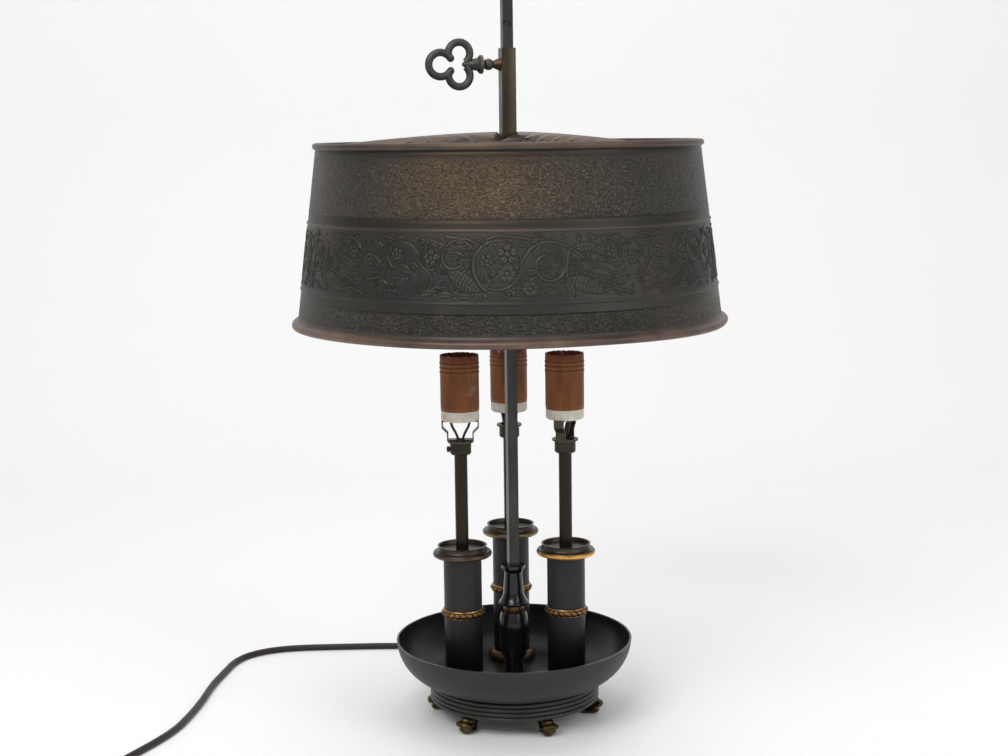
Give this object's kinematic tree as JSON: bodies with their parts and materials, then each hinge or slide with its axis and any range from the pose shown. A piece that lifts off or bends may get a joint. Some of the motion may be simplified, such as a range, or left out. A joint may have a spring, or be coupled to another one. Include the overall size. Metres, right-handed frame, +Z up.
{
  "type": "bouillotte table lamp",
  "caption": "Table lamp with candle-tube sockets on a dish base and an embossed metal shade that slides on a square stem and is held by a trefoil key.",
  "frame": {"origin": "on the table, under the middle of the square stem", "axes": "+Z up, -Y the lamp's front"},
  "size_m": [0.4865, 0.4226, 0.66],
  "materials": {
    "dark_bronze": "dark bronze lacquer over brass, satin, worn brown at the edges",
    "black_casting": "black gloss enamel",
    "antique_brass": "aged brass, dark in the hollows and rubbed bright on the high spots",
    "gilt_edge": "dark bronze with a rubbed gilt edge",
    "brown_bronze": "brown bronze, satin",
    "olive_bronze": "olive bronze, satin",
    "steel_screws": "dull steel",
    "cast_iron": "bare cast iron",
    "shade_metal": "embossed sheet, dark bronze lacquer rubbed to copper on the beads",
    "stem_metal": "aged nickel over brass, grey",
    "sleeve_metal": "brown bronze, rubbed",
    "key_metal": "dark gunmetal casting",
    "ceramic": "unglazed greige ceramic",
    "fibre": "red-brown vulcanised fibre, chipped top edge",
    "shell_brass": "bright brass",
    "wire_black": "black wire insulation",
    "cord_brown": "dark brown flexible cord",
    "plug_brown": "dark brown moulded plastic"
  },
  "bodies": {
    "base": {"dish": "dark_bronze", "foot_ring": "dark_bronze", "base_weight": "cast_iron", "foot_screws": "steel_screws", "lock_nuts": "steel_screws", "clamp_screws": "steel_screws", "centre_contacts": "shell_brass", "lamp_wiring": "wire_black", "stem": "stem_metal", "stem_vase": "dark_bronze", "stem_collar": "antique_brass", "stem_casting": "black_casting", "finial": "stem_metal", "cord": "cord_brown", "cord_coil": "cord_brown", "cord_bushing": "cord_brown", "plug": "plug_brown", "plug_blades": "shell_brass", "foot_right_front": "antique_brass", "foot_right": "antique_brass", "foot_right_rear": "antique_brass", "foot_left_rear": "antique_brass", "foot_left": "antique_brass", "foot_left_front": "antique_brass", "candle_tube_left": "dark_bronze", "tube_foot_left": "antique_brass", "bead_ring_left": "antique_brass", "candle_cup_left": "gilt_edge", "pipe_left": "brown_bronze", "clamp_cup_left": "olive_bronze", "socket_bracket_left": "olive_bronze", "socket_base_left": "ceramic", "socket_sleeve_left": "fibre", "screw_shell_left": "shell_brass", "candle_tube_right": "dark_bronze", "tube_foot_right": "antique_brass", "bead_ring_right": "antique_brass", "candle_cup_right": "gilt_edge", "pipe_right": "brown_bronze", "clamp_cup_right": "olive_bronze", "socket_bracket_right": "olive_bronze", "socket_base_right": "ceramic", "socket_sleeve_right": "fibre", "screw_shell_right": "shell_brass", "candle_tube_rear": "dark_bronze", "tube_foot_rear": "antique_brass", "bead_ring_rear": "antique_brass", "candle_cup_rear": "gilt_edge", "pipe_rear": "brown_bronze", "clamp_cup_rear": "olive_bronze", "socket_bracket_rear": "olive_bronze", "socket_base_rear": "ceramic", "socket_sleeve_rear": "fibre", "screw_shell_rear": "shell_brass"},
    "shade_carriage": {"shade": "shade_metal", "spider": "shade_metal", "spider_rivets": "shade_metal", "slide_sleeve": "sleeve_metal"},
    "key": {"key_screw": "key_metal"}
  },
  "joints": [
    {"name": "shade_height", "type": "slide", "parent": "base", "child": "shade_carriage", "axis": [0, 0, 1], "range_m": [-0.15, 0.1]},
    {"name": "key_turn", "type": "hinge", "parent": "shade_carriage", "child": "key", "pos_m": [0, 0, 0.516], "axis": [-0.9781, -0.2079, 0], "range_deg": [0, 720]}
  ]
}
